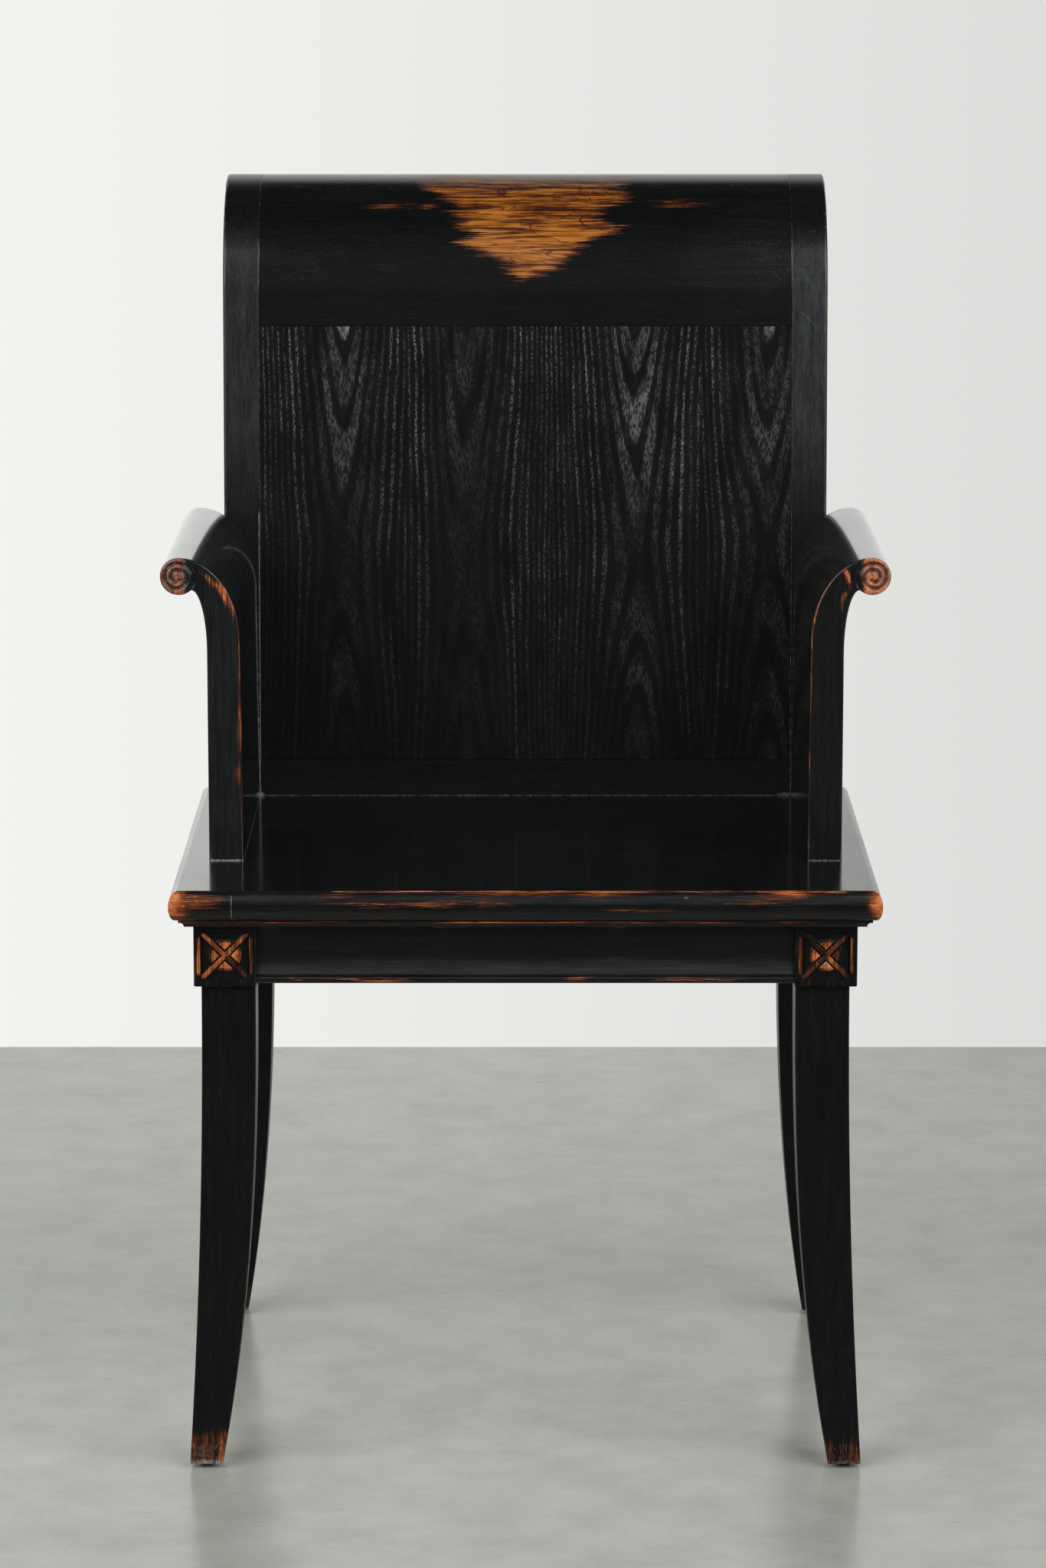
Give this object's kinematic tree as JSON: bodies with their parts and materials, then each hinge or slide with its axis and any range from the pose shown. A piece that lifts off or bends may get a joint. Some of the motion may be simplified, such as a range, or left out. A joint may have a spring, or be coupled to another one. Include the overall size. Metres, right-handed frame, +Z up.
{
  "type": "scroll-back armchair",
  "caption": "Black lacquered armchair with a high back that rolls over at the top, flared board arms ending in carved scrolls, a moulded seat and sabre legs under carved corner blocks.",
  "frame": {"origin": "on the floor under the middle of the chair's bounding box", "axes": "+Z up; the chair faces -Y; +X to the right in the picture"},
  "size_m": [0.6246, 0.5884, 1.0656],
  "materials": {
    "black_lacquer": "black gloss lacquer, worn to the wood on the edges",
    "grained_panel": "thin black lacquer over open-grained wood",
    "bare_wood": "bare planed wood",
    "glide_steel": "dark nail glide"
  },
  "bodies": {
    "root": {"apron_front": "black_lacquer", "apron_left": "black_lacquer", "apron_rear": "black_lacquer", "apron_right": "black_lacquer", "arm_left": "black_lacquer", "arm_right": "black_lacquer", "back_rail_bottom": "black_lacquer", "back_rail_top": "black_lacquer", "back_stile_left": "black_lacquer", "back_stile_right": "black_lacquer", "crest_roll": "black_lacquer", "seat_panel": "black_lacquer", "seat_rail_front": "black_lacquer", "seat_rail_left": "black_lacquer", "seat_rail_rear": "black_lacquer", "seat_rail_right": "black_lacquer", "leg_front_left": "black_lacquer", "leg_front_right": "black_lacquer", "leg_rear_left": "black_lacquer", "leg_rear_right": "black_lacquer", "back_panel": "grained_panel", "corner_brace_front_left": "bare_wood", "corner_brace_front_right": "bare_wood", "corner_brace_rear_left": "bare_wood", "corner_brace_rear_right": "bare_wood", "seat_brace_left": "bare_wood", "seat_brace_right": "bare_wood", "dowel_back_left_high": "bare_wood", "dowel_back_left_low": "bare_wood", "dowel_back_right_high": "bare_wood", "dowel_back_right_low": "bare_wood", "dowel_seat_left_front": "bare_wood", "dowel_seat_left_rear": "bare_wood", "dowel_seat_right_front": "bare_wood", "dowel_seat_right_rear": "bare_wood", "glide_front_left": "glide_steel", "glide_front_right": "glide_steel", "glide_rear_left": "glide_steel", "glide_rear_right": "glide_steel"}
  },
  "joints": []
}
